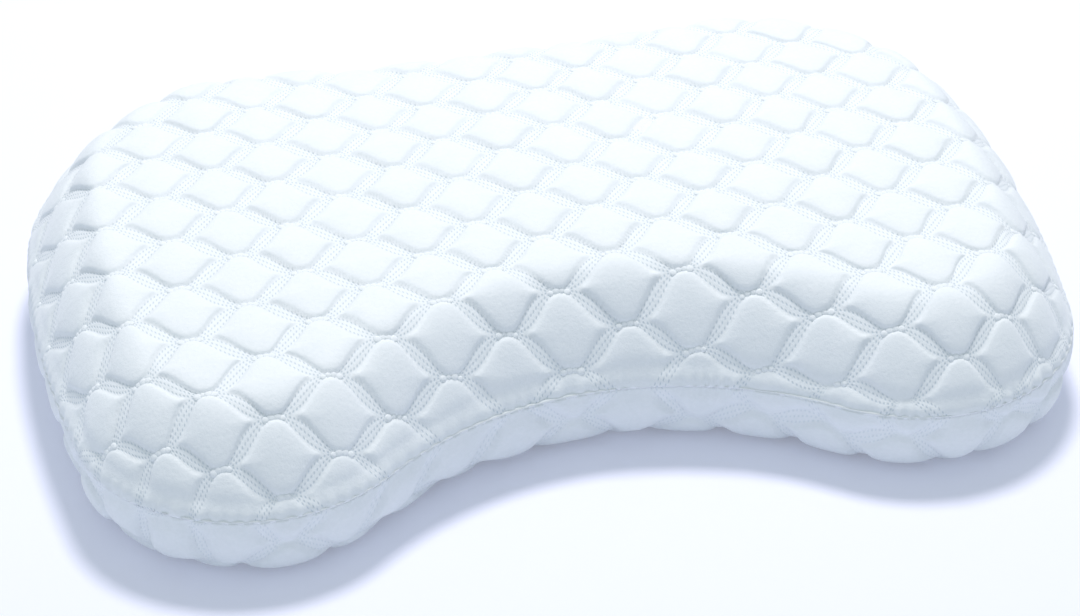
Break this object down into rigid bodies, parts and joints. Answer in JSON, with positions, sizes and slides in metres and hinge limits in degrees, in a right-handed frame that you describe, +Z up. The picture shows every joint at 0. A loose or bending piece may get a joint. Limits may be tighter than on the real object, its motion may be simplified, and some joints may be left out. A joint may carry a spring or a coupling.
{
  "type": "contour neck pillow",
  "caption": "Kidney-shaped contour foam pillow for supporting the neck, in a quilted removable cover with a zip along its shallow side.",
  "frame": {"origin": "centre of the underside's bounding box, on the surface that the pillow lies on", "axes": "+X along the long side, -Y out of the deep shoulder recess, +Y out of the shallow head recess with the zip, +Z up"},
  "size_m": [0.6, 0.41, 0.1049],
  "materials": {
    "cover": "white brushed stretch knit, quilted",
    "wadding": "polyester fibre wadding",
    "liner": "thin stretch knit",
    "foam": "moulded open-cell foam with a smooth skin",
    "thread": "overlocked fabric edge",
    "tape": "woven zip tape",
    "coil": "nylon filament",
    "metal": "nickel-plated zinc",
    "label": "blank satin ribbon"
  },
  "bodies": {
    "pillow": {"foam_core": "foam", "liner_top": "liner", "liner_bottom": "liner", "wadding_top": "wadding", "wadding_bottom": "wadding", "cover_panel_top": "cover", "cover_panel_bottom": "cover", "seam_allowance": "thread", "care_label": "label", "zip_tape_upper": "tape", "zip_tape_lower": "tape", "zip_coil_upper": "coil", "zip_coil_lower": "coil", "zip_top_stop_upper": "metal", "zip_top_stop_lower": "metal", "zip_bottom_stop": "metal"},
    "slider": {"zip_slider": "metal"},
    "pull": {"zip_pull_tab": "metal"}
  },
  "joints": [
    {"name": "zip_travel", "type": "hinge", "parent": "pillow", "child": "slider", "pos_m": [0, 1.04514, 0.045], "axis": [0, 0, 1], "range_deg": [0, 13.6]},
    {"name": "pull_flip", "type": "hinge", "parent": "slider", "child": "pull", "pos_m": [-0.10065, 0.20173, 0.045], "axis": [0, 0, 1], "range_deg": [0, 168]}
  ]
}
